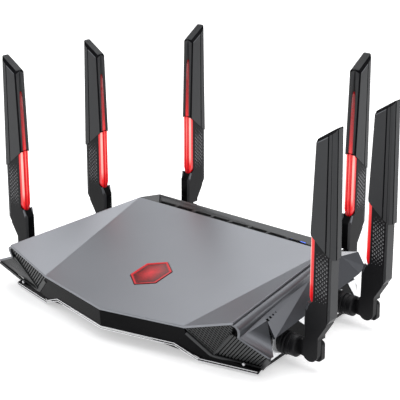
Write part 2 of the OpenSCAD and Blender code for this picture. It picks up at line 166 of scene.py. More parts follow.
TIN = moulded("tin_plate", (0.66, 0.66, 0.66), 0.28, 0.06, 700, 0.04, (1, 1, 5), metallic=1.0)
GOLD = moulded("gold_contact", (0.80, 0.56, 0.20), 0.25, 0.05, 900, 0.02, metallic=1.0)
ALUMINIUM = moulded("extruded_aluminium", (0.70, 0.71, 0.73), 0.35, 0.06, 500, 0.05, (8, 1, 1), metallic=1.0)
BOARD = moulded("solder_mask", (0.01, 0.055, 0.03), 0.30, 0.25, 500, 0.08)
CABLE = moulded("cable_jacket", (0.014, 0.014, 0.015), 0.5, 0.15, 1500, 0.08)
BUTTON = moulded("button_plastic", (0.04, 0.04, 0.045), 0.40, 0.1, 1500, 0.06)
RESET = moulded("reset_plastic", (0.35, 0.02, 0.02), 0.40, 0.1, 1500, 0.06)
PIPE = moulded("smoked_acrylic", (0.008, 0.009, 0.012), 0.15, 0.1, 400, 0.01, coat=0.5)
RED_STOPS = [
    (0.0, (0.02, 0.0, 0.0)), (0.3, (0.22, 0.001, 0.003)), (0.55, (0.62, 0.008, 0.012)),
    (0.8, (0.95, 0.04, 0.04)), (1.0, (1.0, 0.62, 0.55))
]
RED_GUIDE = glowing("red_light_guide", RED_STOPS, 1.0)
RED_LENS = glowing("red_lens", [(0.0, (0.004, 0.0, 0.0)), (0.4, (0.16, 0.002, 0.003)),
                                (1.0, (0.66, 0.02, 0.03))], 1.0, 0.34, 0.05)
BLUE = glowing("blue_status_light", [(0.0, (0.002, 0.003, 0.01)), (0.6, (0.015, 0.05, 0.6)),
                                     (1.0, (0.12, 0.25, 1.0))], 1.6)


# ---- Making pieces ----

def round_edges(piece, width, segments, angle):
    """Rounds the edges sharper than an angle, with a width in metres."""
    rounded = piece.modifiers.new("rounded_edges", "BEVEL")
    rounded.width = width
    rounded.segments = segments
    rounded.limit_method = "ANGLE"
    rounded.angle_limit = angle
    rounded.harden_normals = True


def make_piece(name, bm, materials, body, slot, *nodes, matrix=None, bevel=0.0, segments=2, angle=25):
    """Turns a bmesh in millimetres into a piece that rides on a body and stands for CAD nodes."""
    bmesh.ops.scale(bm, vec=(MM, MM, MM), verts=bm.verts)
    bmesh.ops.recalc_face_normals(bm, faces=bm.faces)
    if matrix is not None:
        bm.transform(matrix)
        if matrix.determinant() < 0:
            bmesh.ops.reverse_faces(bm, faces=bm.faces)
    mesh = bpy.data.meshes.new(name)
    bm.to_mesh(mesh)
    bm.free()
    for made in materials:
        mesh.materials.append(made)
    piece = bpy.data.objects.new(name, mesh)
    scene.collection.objects.link(piece)
    mesh.shade_smooth()
    if bevel:
        round_edges(piece, bevel * MM, segments, math.radians(angle))
    else:
        mesh.set_sharp_from_angle(angle=math.radians(30))
    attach(piece, body)
    if nodes:
        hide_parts(*nodes)
    return piece


def add_solid(bm, points, facets, material=0):
    """Adds faces given by point numbers. material is one number, or one for each face."""
    verts = [bm.verts.new(p) for p in points]
    faces = []
    for number, facet in enumerate(facets):
        face = bm.faces.new([verts[i] for i in facet])
        face.material_index = material if isinstance(material, int) else material[number]
        faces.append(face)
    return verts, faces


def add_sheet(bm, points, facets, rim, drop, material=0, wall_material=None):
    """A folded sheet of even thickness. drop leads from its outside to its inside."""
    count = len(points)
    drop = Vector(drop)
    everything = [Vector(p) for p in points] + [Vector(p) + drop for p in points]
    walls = [(a, b, b + count, a + count) for a, b in zip(rim, rim[1:] + rim[:1])]
    inside = [tuple(i + count for i in reversed(f)) for f in facets]
    outer = material if isinstance(material, (list, tuple)) else [material] * len(facets)
    inner = outer[0] if wall_material is None else wall_material
    kinds = list(outer) + [inner] * (len(inside) + len(walls))
    return add_solid(bm, everything, list(facets) + inside + walls, kinds)


def add_prism(bm, outline, axis, low, high, material=0):
    """An outline extruded along an axis. The outline's two numbers are the other two axes, in order."""
    def at(pair, depth):
        pair = list(pair)
        pair.insert("xyz".index(axis), depth)
        return Vector(pair)
    count = len(outline)
    points = [at(p, low) for p in outline] + [at(p, high) for p in outline]
    sides = [(i, (i + 1) % count, (i + 1) % count + count, i + count) for i in range(count)]
    ends = [tuple(reversed(range(count))), tuple(range(count, 2 * count))]
    return add_solid(bm, points, sides + ends, material)


def add_box(bm, low, high, material=0):
    outline = [(low[0], low[1]), (high[0], low[1]), (high[0], high[1]), (low[0], high[1])]
    return add_prism(bm, outline, "z", low[2], high[2], material)


def add_bar(bm, start, end, width, height, up, material=0):
    """A straight bar from one point to another, width across and height along up, centred on the line."""
    start, end, up = Vector(start), Vector(end), Vector(up).normalized()
    across = (end - start).cross(up).normalized() * width / 2
    rise = across.cross(end - start).normalized() * height / 2
    corners = [across + rise, -across + rise, -across - rise, across - rise]
    points = [start + c for c in corners] + [end + c for c in corners]
    facets = [(0, 1, 2, 3), (7, 6, 5, 4), (0, 4, 5, 1), (1, 5, 6, 2), (2, 6, 7, 3), (3, 7, 4, 0)]
    return add_solid(bm, points, facets, material)


def add_lathe(bm, profile, centre, axis, material=0, segments=48):
    """A turned solid: profile is (distance along the axis, radius), from one end to the other."""
    axis = Vector(axis).normalized()
    side = axis.orthogonal().normalized()
    other = axis.cross(side)
    centre = Vector(centre)
    turns = [2 * math.pi * k / segments for k in range(segments)]
    rings = [[bm.verts.new(centre + axis * along + (side * math.cos(t) + other * math.sin(t)) * radius)
              for t in turns] for along, radius in profile]
    for lower, upper in zip(rings, rings[1:]):
        for k in range(segments):
            n = (k + 1) % segments
            bm.faces.new((lower[k], lower[n], upper[n], upper[k])).material_index = material
    bm.faces.new(list(reversed(rings[0]))).material_index = material
    bm.faces.new(rings[-1]).material_index = material


def close_ring(bm, ring, material):
    """Fills a ring with faces that run straight across, from each point to its mirror image."""
    count = len(ring)
    for k in range(count // 2):
        corners = [ring[k], ring[k + 1], ring[(count - k - 1) % count], ring[(count - k) % count]]
        bm.faces.new(list(dict.fromkeys(corners))).material_index = material


def add_loft(bm, rings, materials):
    """Joins rings of equal length, each of which runs down one side and back up its mirror image."""
    made = [[bm.verts.new(p) for p in ring] for ring in rings]
    count = len(rings[0])
    half = count // 2
    for lower, upper in zip(made, made[1:]):
        for k in range(count):
            n = (k + 1) % count
            column = k if k < half else count - 1 - k
            bm.faces.new((lower[k], lower[n], upper[n], upper[k])).material_index = materials[column]
    return made


def flip(bm):
    """Mirrors a mesh to the other side of the router."""
    bmesh.ops.scale(bm, vec=(-1, 1, 1), verts=bm.verts)


def both_sides(build):
    """Builds a part on the right and its mirror image on the left, in one bmesh."""
    bm = bmesh.new()
    build(bm)
    twin = bm.copy()
    flip(twin)
    bmesh.ops.reverse_faces(twin, faces=twin.faces)
    spare = bpy.data.meshes.new("spare")
    twin.to_mesh(spare)
    twin.free()
    bm.from_mesh(spare)
    bpy.data.meshes.remove(spare)
    return bm


def carve(piece, cutter_bm):
    """Cuts a solid out of a piece's mesh."""
    bmesh.ops.scale(cutter_bm, vec=(MM, MM, MM), verts=cutter_bm.verts)
    bmesh.ops.recalc_face_normals(cutter_bm, faces=cutter_bm.faces)
    mesh = bpy.data.meshes.new("cutter")
    cutter_bm.to_mesh(mesh)
    cutter_bm.free()
    cutter = bpy.data.objects.new("cutter", mesh)
    scene.collection.objects.link(cutter)
    kept = [(m.width, m.segments, m.angle_limit) for m in piece.modifiers]
    piece.modifiers.clear()
    cut = piece.modifiers.new("cut", "BOOLEAN")
    cut.object = cutter
    cut.operation = "DIFFERENCE"
    cut.solver = "EXACT"
    bpy.context.view_layer.update()
    result = bpy.data.meshes.new_from_object(piece.evaluated_get(bpy.context.evaluated_depsgraph_get()))
    piece.modifiers.clear()
    piece.data = result
    for width, segments, angle in kept:
        round_edges(piece, width, segments, angle)
    bpy.data.objects.remove(cutter)
    bpy.data.meshes.remove(mesh)
    return piece


def set_glow(piece, level):
    """Stores how brightly each point glows. level gives it from the point, in millimetres."""
    glow = piece.data.attributes.new("glow", "FLOAT", "POINT")
    for point, value in zip(piece.data.vertices, glow.data):
        value.value = level(point.co / MM)
    return piece


def paint_node(node, made):
    """Gives a CAD node that keeps its own shape its material."""
    mesh = frame["nodes"][node].data
    mesh.materials.clear()
    mesh.materials.append(made)


def mirrored(points):
    return [(-x, y, z) for x, y, z in points]


def mix(a, b, t):
    return Vector(a).lerp(Vector(b), t)


# ---- Housing ----

PROW = (0, -119.2, 30)
FRONT = (79, -105.1, 32.3)
WING = (125.7, -102.4, 48.2)
BACK = (108, 46.1, 57.5)
SKIN = 2.2
PANEL_SLOPE = (BACK[2] - FRONT[2]) / (BACK[1] - FRONT[1])
BADGE_Y = -56.5
BADGE = (14.2, 21.0)
BACK_Y = 76.0

COVE_FRONT = (129.5, -98.6, 35)
COVE_MID = (126.3, -65, 40.5)
COVE_REAR = (119, 7, 50.3)
COVE_END = (109.5, 50, 51.5)
FIN_TIP = (155, -92.5, 23.5)
FIN_HEEL = (153, -86, 22)
SLIT_TOP = (131, -65.7, 38)
BLADE_FRONT = (146, -75, 31)
BLADE_BACK = (118.5, 83, 28)
FIN_BACK = (109.5, 66, 47)
TAIL_LOW = (118.5, 91, 32)
TAIL_HIGH = (111.5, 90, 44.5)
TAIL_FRONT = (107.5, 64, 51.5)
CREASE_BACK = (120.2, 5.3, 46.8)

GRILLE_INNER_LOW = (99, -95, 9.5)
GRILLE_OUTER_LOW = (137.5, -80, 4.5)
GRILLE_INNER_MID = (80.5, -104, 26.5)
ARCH_OUTER = (67, -103, 13.2)
FOOT_INNER = (87.5, -96.4, 4)
TRAY_RIGHT = [(88, -93), (134, -82), (136.5, -77), (133.5, -40), (126.5, 30), (122.5, 74)]


def panel_z(y):
    return FRONT[2] + (y - FRONT[1]) * PANEL_SLOPE


def badge_outline(grow):
    w, l = BADGE[0] + grow, BADGE[1] + grow
    return [(0, -l), (w, -l / 2), (w, l / 2), (0, l), (-w, l / 2), (-w, -l / 2)]


def on_badge(bm, verts):
    """Moves points from the badge's own plane to its place in the panel."""
    tilt = Matrix.Rotation(math.atan(PANEL_SLOPE), 4, "X")
    bmesh.ops.transform(bm, matrix=Matrix.Translation((0, BADGE_Y, panel_z(BADGE_Y))) @ tilt, verts=verts)


def top_panel():
    bm = bmesh.new()
    right = [FRONT, WING, BACK]
    points = [PROW] + right + mirrored(reversed(right))
    facets = [(0, 1, 3, 4, 6), (1, 2, 3), (6, 4, 5)]
    add_sheet(bm, points, facets, [0, 1, 2, 3, 4, 5, 6], (0, 0, -SKIN))
    piece = make_piece("top_panel", bm, [SILVER], HOUSING, "silver_plastic", "top_panel", bevel=0.5,
                       segments=3, angle=8)
    hole = bmesh.new()
    verts, _ = add_prism(hole, badge_outline(0.5), "z", -8, 6)
    on_badge(hole, verts)
    carve(piece, hole)
    return piece


def badge():
    """A faceted hexagon lens: a bright rim, a dark groove, and six facets that rise to the middle."""
    bm = bmesh.new()
    glow_layer = bm.verts.layers.float.new("glow")
    levels = [(0.2, -2.0), (0.2, 0.35), (-0.3, 0.5), (-1.0, 0.45), (-1.3, 0.0), (-2.9, 0.05), (-6.2, 0.75)]
    rings = [[bm.verts.new((x, y, z)) for x, y in badge_outline(grow)] for grow, z in levels]
    for lower, upper in zip(rings, rings[1:]):
        for k in range(6):
            n = (k + 1) % 6
            bm.faces.new((lower[k], lower[n], upper[n], upper[k]))
    inner = rings[-1]
    crown = [bm.verts.new((v.co.x * 0.42, v.co.y * 0.42, 0.45)) for v in inner]
    centre = bm.verts.new((0, 0, 1.1))
    for k in range(6):
        n = (k + 1) % 6
        bm.faces.new((inner[k], inner[n], crown[n], crown[k]))
        bm.faces.new((crown[k], crown[n], centre))
    bm.faces.new(list(reversed(rings[0])))
    for v in bm.verts:
        across = abs(v.co.x) / BADGE[0]
        reach = max(across, abs(v.co.y) / BADGE[1] + across / 2)
        rim = 0.9 if 0.92 < reach < 1.0 else 0.0
        v[glow_layer] = rim if reach > 0.78 else 0.8 * (1 - reach) + 0.1
    on_badge(bm, bm.verts)
    return make_piece("badge_lens", bm, [RED_LENS], HOUSING, "red_lens", "badge_lens")


SLOT_COUNT = 8
SLOT_PITCH = 21.4
SLOT_Y = 49.4
SLOT_L = 17.0
SLOT_W = 3.0
FIRST_LIT_SLOT = 3


def slot_centres():
    return [(k - (SLOT_COUNT - 1) / 2) * SLOT_PITCH for k in range(SLOT_COUNT)]


def rear_deck():
    bm = bmesh.new()
    right = [(BACK[0], BACK[1] + 0.3, BACK[2]), (100, 65, BACK[2] - 0.3), (103.5, BACK_Y - 0.2, 46)]
    points = right + mirrored(right)
    add_sheet(bm, points, [(3, 0, 1, 4), (4, 1, 2, 5)], [3, 0, 1, 2, 5, 4], (0, -0.6, -SKIN))
    piece = make_piece("rear_deck", bm, [DECK], HOUSING, "dark_grey_plastic", "rear_deck", bevel=0.5)
    slots = bmesh.new()
    for x in slot_centres():
        low = (x - SLOT_L / 2, SLOT_Y - SLOT_W / 2 - 1.1, BACK[2] - 8)
        high = (x + SLOT_L / 2, SLOT_Y + SLOT_W / 2, BACK[2] + 3)
        add_box(slots, low, high)
    return carve(piece, slots)


def status_lights():
    """A smoked light pipe in each slot. The five slots towards the right are lit."""
    bm = bmesh.new()
    half = SLOT_L / 2 - 0.2
    for x in slot_centres():
        add_box(bm, (x - half, SLOT_Y - 2.4, BACK[2] - 5), (x + half, SLOT_Y + 1.3, BACK[2] - 1.1))
    make_piece("status_light_pipe", bm, [PIPE], HOUSING, "clear_light_pipe", "status_light_pipe", bevel=0.15)
    bm = bmesh.new()
    for x in slot_centres()[FIRST_LIT_SLOT:]:
        for left, right in ((2.8, 8.2), (-8.2, -6.6)):
            add_box(bm, (x + left, SLOT_Y - 0.2, BACK[2] - 1.2), (x + right, SLOT_Y + 1.2, BACK[2] - 0.15))
    lit = make_piece("status_light_glow", bm, [BLUE], HOUSING, "clear_light_pipe")
    set_glow(lit, lambda p: 0.9)


def shoulders(bm):
    """The rounded cove below a wing's outer edge, from the wing's edge down to the fin."""
    stations = [
        (0, COVE_FRONT), (0.25, COVE_MID), (0.5, mix(COVE_MID, COVE_REAR, 0.5)), (0.74, COVE_REAR),
        (1, COVE_END)
    ]
    steps = 12
    rows = []
    for share, lower in stations:
        upper = mix(WING, BACK, share) + Vector((0.3, 0, -SKIN))
        drop = Vector(lower) - upper
        bulge = Vector((1.0, 0, 0.75)).normalized() * drop.length * 0.30
        shares = [k / steps for k in range(steps + 1)]
        rows.append([upper + drop * t + bulge * 4 * t * (1 - t) for t in shares])
    grid = [[bm.verts.new(p) for p in row] for row in rows]
    behind = [[bm.verts.new(p + Vector((-2.4, 0, -0.8))) for p in row] for row in rows]
    last = len(rows[0]) - 1
    for i in range(len(rows) - 1):
        for k in range(last):
            bm.faces.new((grid[i][k], grid[i + 1][k], grid[i + 1][k + 1], grid[i][k + 1]))
            bm.faces.new((behind[i][k], behind[i][k + 1], behind[i + 1][k + 1], behind[i + 1][k]))
        for k in (0, last):
            bm.faces.new((grid[i][k], behind[i][k], behind[i + 1][k], grid[i + 1][k]))
    for i in (0, len(rows) - 1):
        for k in range(last):
            bm.faces.new((grid[i][k], grid[i][k + 1], behind[i][k + 1], behind[i][k]))


def fin(bm):
    points = [
        COVE_FRONT, FIN_TIP, FIN_HEEL, SLIT_TOP, BLADE_FRONT, BLADE_BACK, TAIL_LOW,
        TAIL_HIGH, TAIL_FRONT, COVE_END, COVE_REAR, COVE_MID, CREASE_BACK, FIN_BACK
    ]
    facets = [
        (0, 1, 2), (0, 2, 3), (0, 3, 11), (11, 3, 12), (3, 4, 12), (4, 5, 12),
        (5, 13, 12), (5, 6, 13), (6, 7, 13), (7, 8, 13), (8, 9, 13), (13, 9, 12),
        (9, 10, 12), (10, 11, 12)
    ]
    # the tail's front facets take the near-white finish, a painted reflection on the glossy rear corner
    tail_front = points.index(TAIL_FRONT)
    kinds = [1 if tail_front in facet else 0 for facet in facets]
    add_sheet(bm, points, facets, list(range(12)), (-1.6, 0, -1.2), kinds)


def fin_holes(side):
    """Four small square holes in a row behind the slit."""
    bm = bmesh.new()
    outward = Vector((0.75, 0, 0.66))
    for k in range(4):
        place = mix(SLIT_TOP, CREASE_BACK, 0.02 + 0.062 * k) + Vector((-0.6, 0.0, 0.2))
        size = 2.5 - 0.42 * k
        add_bar(bm, place - outward * 4, place + outward * 4, size, size, (0, 1, 0))
    if side < 0:
        flip(bm)
    return bm


def side_fins():
    for side, name in ((1, "side_fin_right"), (-1, "side_fin_left")):
        bm = bmesh.new()
        fin(bm)
        if side < 0:
            flip(bm)
        piece = make_piece(name, bm, [FIN, PAINTED_REFLECTION], HOUSING, "fin_grey_plastic", name,
                           bevel=0.35, angle=10)
        carve(piece, fin_holes(side))


# ---- Corner grilles ----

GRILLE_TIP = (153.2, -92.0, 21.6)
GRILLE_SPLIT = (122.2, -99.9, 36.2)
GRILLE_WING = (125.4, -102.0, 45.6)
GRILLE_FRONT = (79.0, -104.9, 29.9)


def clip_line(polygon, origin, direction):
    """The two ends of the part of a line that lies inside a convex polygon, all in 2-D."""
    low, high = -1e9, 1e9
    count = len(polygon)
    for k in range(count):
        a, b = polygon[k], polygon[(k + 1) % count]
        edge = (b[0] - a[0], b[1] - a[1])
        normal = (-edge[1], edge[0])
        speed = normal[0] * direction[0] + normal[1] * direction[1]
        gap = normal[0] * (a[0] - origin[0]) + normal[1] * (a[1] - origin[1])
        if abs(speed) < 1e-9:
            if gap > 0:
                return None
        elif speed > 0:
            low = max(low, gap / speed)
        else:
            high = min(high, gap / speed)
    if high - low < 0.8:
        return None
    return tuple((origin[0] + direction[0] * t, origin[1] + direction[1] * t) for t in (low, high))


def corner_grille(bm):
    """A dark backing, a frame, a diagonal mesh next to the front and slanted louvres beside it. The dark
    backing is painted shade for the shaded inside seen through the gaps.
    """
    low, tip, split = Vector(GRILLE_INNER_LOW), Vector(GRILLE_TIP), Vector(GRILLE_SPLIT)
    outline = [low, Vector(GRILLE_OUTER_LOW), tip, Vector(COVE_FRONT) + Vector((0.3, -0.3, -0.8)),
               Vector(GRILLE_WING), Vector(GRILLE_FRONT), Vector(GRILLE_INNER_MID)]
    inset = Vector((0, 0.9, 0.2))
    # the backing sheet: gloss black, painted shade where the inside shows between the bars
    add_sheet(bm, [p + Vector((-2.5, 4.2, 0.2)) for p in outline],
              [(0, 1, 2), (0, 2, 3), (0, 3, 4), (0, 4, 5), (0, 5, 6)], list(range(7)), (0, 1.2, 0.2), 1)
    # the mesh, in a plane through the front edge
    corners = [low, split, Vector(GRILLE_WING), Vector(GRILLE_FRONT), Vector(GRILLE_INNER_MID)]
    across = (Vector(GRILLE_WING) - Vector(GRILLE_FRONT)).normalized()
    normal = across.cross(split - low).normalized()
    up = normal.cross(across)
    origin = low.copy()
    flat = [((c - origin).dot(across), (c - origin).dot(up)) for c in corners]
    depth = [(c - origin).dot(normal) for c in corners]
    lift = sum(depth) / len(depth) / 2
    edge = Vector(GRILLE_INNER_MID) - low
    main = math.degrees(math.atan2(edge.dot(up), edge.dot(across)))
    for slope, pitch, width in ((main, 2.4, 1.25), (main - 75, 3.2, 0.4)):
        way = (math.cos(math.radians(slope)), math.sin(math.radians(slope)))
        step = pitch / abs(math.sin(math.radians(slope)))
        for k in range(-60, 80):
            ends = clip_line(flat, (k * step, 0), way)
            if ends:
                a, b = [origin + across * e[0] + up * e[1] + normal * lift for e in ends]
                add_bar(bm, a + inset, b + inset, width, 0.35, normal, 0)
    # the louvres, between the fin's lower edge and the lower edge of the grille
    upper_line = [split, Vector(COVE_FRONT) + Vector((0.2, -0.4, -1.6)), tip]
    lower_line = [low + Vector((1.5, 0.4, 1.6)), Vector(GRILLE_OUTER_LOW) + Vector((-1.5, -0.4, 1.8))]
    count = 14
    for k in range(count):
        t = (k + 0.55) / count
        top = along(upper_line, t) + inset
        bottom = along(lower_line, t) + inset
        add_bar(bm, top, bottom, 1.6, 0.5, Vector((0.25, -1, -0.3)), 0)
    # the frame
    edges = [
        (Vector(GRILLE_INNER_MID), low, 3.2), (low, Vector(GRILLE_OUTER_LOW), 2.6),
        (Vector(GRILLE_OUTER_LOW), tip, 3.4), (split, low + Vector((2, 0.6, 1.5)), 1.2)
    ]
    for start, end, width in edges:
        facing = normal if end is low else Vector((0, -1, -0.3))
        add_bar(bm, start, end, width, 1.4, facing, 2)


def along(line, t):
    """A point at a share t of a broken line's length."""
    lengths = [(b - a).length for a, b in zip(line, line[1:])]
    left = t * sum(lengths)
    for a, b, length in zip(line, line[1:], lengths):
        if left <= length:
            return a.lerp(b, left / length)
        left -= length
    return line[-1].copy()


def grilles():
    bm = both_sides(corner_grille)
    make_piece("corner_grilles", bm, [GRILLE, GLOSS_BLACK, FRAME_GREY], HOUSING, "black_plastic",
               "corner_grilles", bevel=0.12, segments=1)


# ---- Front fascia and tray ----

def front_fascia():
    bm = bmesh.new()
    under = SKIN + 0.15
    right = [
        ARCH_OUTER, FOOT_INNER, (GRILLE_INNER_LOW[0] - 0.3, *GRILLE_INNER_LOW[1:]),
        (GRILLE_INNER_MID[0] - 0.3, *GRILLE_INNER_MID[1:]), (FRONT[0], FRONT[1], FRONT[2] - under)
    ]
    points = [(0, -118, 13.2)] + right + [(0, PROW[1], PROW[2] - under)] + mirrored(reversed(right))
    facets = [
        (0, 1, 6), (1, 5, 6), (1, 4, 5), (1, 3, 4), (1, 2, 3),
        (0, 6, 11), (11, 6, 7), (11, 7, 8), (11, 8, 9), (11, 9, 10)
    ]
    add_sheet(bm, points, facets, list(range(12)), (0, 1.8, 0))
    make_piece("front_fascia", bm, [GLOSS_BLACK], HOUSING, "gloss_black_plastic", "front_fascia", bevel=0.4,
               angle=12)


def wall_point(y, z, out=0.0):
    """A point on the tray's right-hand side wall, which leans in towards its top."""
    lines = sorted((py, px) for px, py in TRAY_RIGHT[2:])
    return Vector((interpolate(lines, y) - 3.5 * (z - 3.4) / 23.1 + out, y, z))


def side_wall(bm):
    """The tray's side below the fin: bright facets that lean out, set in a black wall. The bright facets are
    painted reflections of the white floor and surroundings in the glossy wall.
    """
    points = [wall_point(y, z) for z in (3.4, 26.4) for y in (-77, -40, 30, 74)]
    facets = [(0, 1, 5, 4), (1, 2, 6, 5), (2, 3, 7, 6)]
    add_sheet(bm, points, facets, [0, 1, 2, 3, 7, 6, 5, 4], (-1.8, 0, 0), 1)
    gloss, bright = 1, 2
    # the bright facets are painted reflections of the white floor in the glossy side wall
    raised_facets = [
        (bright, [(-67, 6.0, 1.2), (-27, 6.6, 0.6), (-60, 25.0, 1.6)]),
        (gloss, [(-27, 6.6, 0.6), (-44, 25.5, 0.3), (-60, 25.0, 1.6)]),
        (bright, [(-26, 25.8, 1.4), (-12, 25.8, 1.0), (-13, 16.0, 0.3)]),
        (bright, [(24, 6.0, 0.4), (53, 6.0, 0.8), (49.5, 25.2, 1.4), (36, 25.8, 0.8)]),
        (bright, [(62, 26.0, 0.4), (73.6, 26.0, 1.2), (73.6, 7.0, 1.2)])
    ]
    for kind, shape in raised_facets:
        raised = [wall_point(y, z, out) for y, z, out in shape]
        count = len(raised)
        add_sheet(bm, raised, [tuple(range(count))], list(range(count)), (-2.2, 0, 0), kind)


def tray_corner(bm):
    """The foot below a grille, and the underside behind it."""
    points = [
        (138, -85.5, 1.6), (87, -97.6, 1.6), (138, -85.7, 4.2), (87, -97.8, 4.2),
        (135.4, -76, 2.9), (96, -91, 2.9), (137.2, -77.5, 5.6), (98.6, -93.2, 9.6)
    ]
    verts = [bm.verts.new(p) for p in points]
    bmesh.ops.convex_hull(bm, input=verts)


def tray():
    bm = both_sides(side_wall)
    outline = TRAY_RIGHT + [(-x, y) for x, y in reversed(TRAY_RIGHT)]
    add_prism(bm, outline, "z", 2.5, 4.5, 0)
    ramp_points = [
        (-67, -102.6, 12.8), (0, -116.2, 12.8), (67, -102.6, 12.8), (84, -90, 4.3), (-84, -90, 4.3)
    ]
    add_sheet(bm, ramp_points, [(0, 1, 2), (0, 2, 3, 4)], [0, 1, 2, 3, 4], (0, 0.4, -1.4), 0)
    make_piece("bottom_tray", bm, [BLACK, GLOSS_BLACK, PAINTED_REFLECTION], HOUSING, "black_plastic", "bottom_tray",
               bevel=0.3)
    feet = both_sides(tray_corner)
    make_piece("tray_feet", feet, [GLOSS_BLACK], HOUSING, "black_plastic", bevel=0.3)
    lip()
    rivets()


def lip():
    """Two thin raised lines along the tray's lower front edge, one above the other. Their near-white finish
    is a painted highlight along the black lip's edges.
    """
    centre = [Vector((0, -118.3, 13.2)), Vector((67, -103.4, 13.2)), Vector((87.3, -97.9, 4.2)),
              Vector((137.6, -86.0, 3.9))]
    bm = bmesh.new()
    for step in (0.0, -1.9):
        line = [p + Vector((0, 0.25 if step else 0, step)) for p in centre]
        both = [Vector((-p.x, p.y, p.z)) for p in reversed(line)] + line[1:]
        for a, b in zip(both, both[1:]):
            add_bar(bm, a, b, 0.75, 0.75, (0, 0, 1))
    make_piece("tray_lip", bm, [LIP_HIGHLIGHT], HOUSING, "black_plastic", bevel=0.25)


def rivets():
    """A small bright stud in the face of each foot."""
    bm = bmesh.new()
    for side in (1, -1):
        place = (side * 126.3, -88.7, 8.2)
        add_lathe(bm, [(-0.6, 1.3), (0.5, 1.3), (0.9, 1.0), (1.05, 0.4)], place, (0, -1, 0))
    make_piece("foot_studs", bm, [STEEL], HOUSING, "screw_steel")


# ---- Back panel ----

JACK_XS = [-26] + [-4 + 15.5 * k for k in range(4)]
JACK_W = 11.8
JACK_H = 8.4
BOARD_TOP = 11.6
JACK_Z = BOARD_TOP + 1.4
USB_X = 61
DC_X = -74
DC_Z = BOARD_TOP + 6
CUT = (70, 80)
BUTTON_Z = 20
BUTTON_R = 3.4
RESET_R = 1.2
ROUND_BUTTONS = {"power_button": -57.5, "wps_button": -44}
RESET_X = 75


def back_panel():
    bm = bmesh.new()
    outline = [(-120.5, 4.7), (120.5, 4.7), (120.5, 20), (103, 43.4), (-103, 43.4), (-120.5, 20)]
    add_prism(bm, outline, "y", 74, 75.8, 0)
    piece = make_piece("rear_io_panel", bm, [BLACK], HOUSING, "black_plastic", "rear_io_panel", bevel=0.4)
    holes = bmesh.new()
    for x in JACK_XS:
        add_box(holes, (x - JACK_W / 2, CUT[0], JACK_Z), (x + JACK_W / 2, CUT[1], JACK_Z + JACK_H))
    add_box(holes, (USB_X - 6.7, CUT[0], BOARD_TOP + 0.4), (USB_X + 6.7, CUT[1], BOARD_TOP + 7))
    bores = [(x, BUTTON_Z, BUTTON_R + 0.3) for x in ROUND_BUTTONS.values()]
    bores += [(RESET_X, BUTTON_Z, RESET_R + 0.3), (DC_X, DC_Z, 4.3)]
    for x, z, radius in bores:
        add_lathe(holes, [(0, radius), (CUT[1] - CUT[0], radius)], (x, CUT[0], z), (0, 1, 0))
    for row in range(2):
        z = 30.5 + row * 4.4
        for k in range(-9, 10):
            x = k * 8.2 + (4.1 if row else 0)
            add_box(holes, (x - 3.0, CUT[0], z), (x + 3.0, CUT[1], z + 2.2))
    carve(piece, holes)
    surrounds()


def surrounds():
    """Raised frames round the sockets and a collar round the power inlet."""
    bm = bmesh.new()
    rims = [(JACK_XS[0], JACK_W / 2 + 1.3), ((JACK_XS[1] + JACK_XS[4]) / 2, 23.25 + JACK_W / 2 + 1.3)]
    low, high = BOARD_TOP + 0.2, BOARD_TOP + JACK_H + 2.6
    for x, half in rims:
        for z in (low, high):
            add_box(bm, (x - half, 75.7, z - 0.5), (x + half, 76.5, z + 0.5))
        for side in (-1, 1):
            add_box(bm, (x + side * half - 0.5, 75.7, low), (x + side * half + 0.5, 76.5, high))
    make_piece("socket_surrounds", bm, [SATIN_BLACK], HOUSING, "black_plastic", bevel=0.25)


def sockets():
    """Network sockets with their contacts, then the USB socket and the power inlet."""
    bm = bmesh.new()
    front = BACK_Y - 2.2
    half, low, high, top = JACK_W / 2, JACK_Z, JACK_Z + JACK_H, BOARD_TOP + 13
    for x in JACK_XS:
        add_box(bm, (x - 7.4, front - 17, BOARD_TOP), (x + 7.4, front - 13.5, top))
        walls = [(-7.4, BOARD_TOP, -half, top), (half, BOARD_TOP, 7.4, top), (-half, BOARD_TOP, half, low),
                 (-half, high, half, top)]
        for x0, z0, x1, z1 in walls:
            add_box(bm, (x + x0, front - 13.6, z0), (x + x1, front, z1))
        for k in range(8):
            cx = x + (k - 3.5) * 1.02
            add_bar(bm, (cx, front - 2.0, high - 0.5), (cx, front - 10.5, high - 3.4), 0.4, 0.3, (0, 0, 1), 1)
        for side in (-1, 1):
            middle = x + side * 4.6
            add_box(bm, (middle - 1.1, front + 0.02, high + 0.1), (middle + 1.1, front + 0.3, high + 1.2), 2)
    make_piece("ethernet_jacks", bm, [TIN, GOLD, PIPE], HOUSING, "tinned_steel", "ethernet_jacks", bevel=0.12,
               segments=1)
    usb_socket(front)
    power_inlet(front)


def usb_socket(front):
    bm = bmesh.new()
    low, high = BOARD_TOP, BOARD_TOP + 7
    add_box(bm, (USB_X - 6.8, front - 14, low), (USB_X + 6.8, front - 12, high))
    for a, b in (((-6.8, low), (6.8, low + 0.6)), ((-6.8, high - 0.6), (6.8, high))):
        add_box(bm, (USB_X + a[0], front - 12.1, a[1]), (USB_X + b[0], front, b[1]))
    for side in (-1, 1):
        wall = USB_X + side * 6.55
        add_box(bm, (wall - 0.25, front - 12.1, low), (wall + 0.25, front, high))
    add_box(bm, (USB_X - 5.6, front - 12.1, high - 2.6), (USB_X + 5.6, front - 1.0, high - 0.75), 2)
    for k in range(4):
        cx = USB_X + (k - 1.5) * 2.5
        add_box(bm, (cx - 0.55, front - 11.0, high - 2.72), (cx + 0.55, front - 1.6, high - 2.58), 1)
    make_piece("usb_port", bm, [TIN, GOLD, RESET], HOUSING, "tinned_steel", "usb_port", bevel=0.1, segments=1)


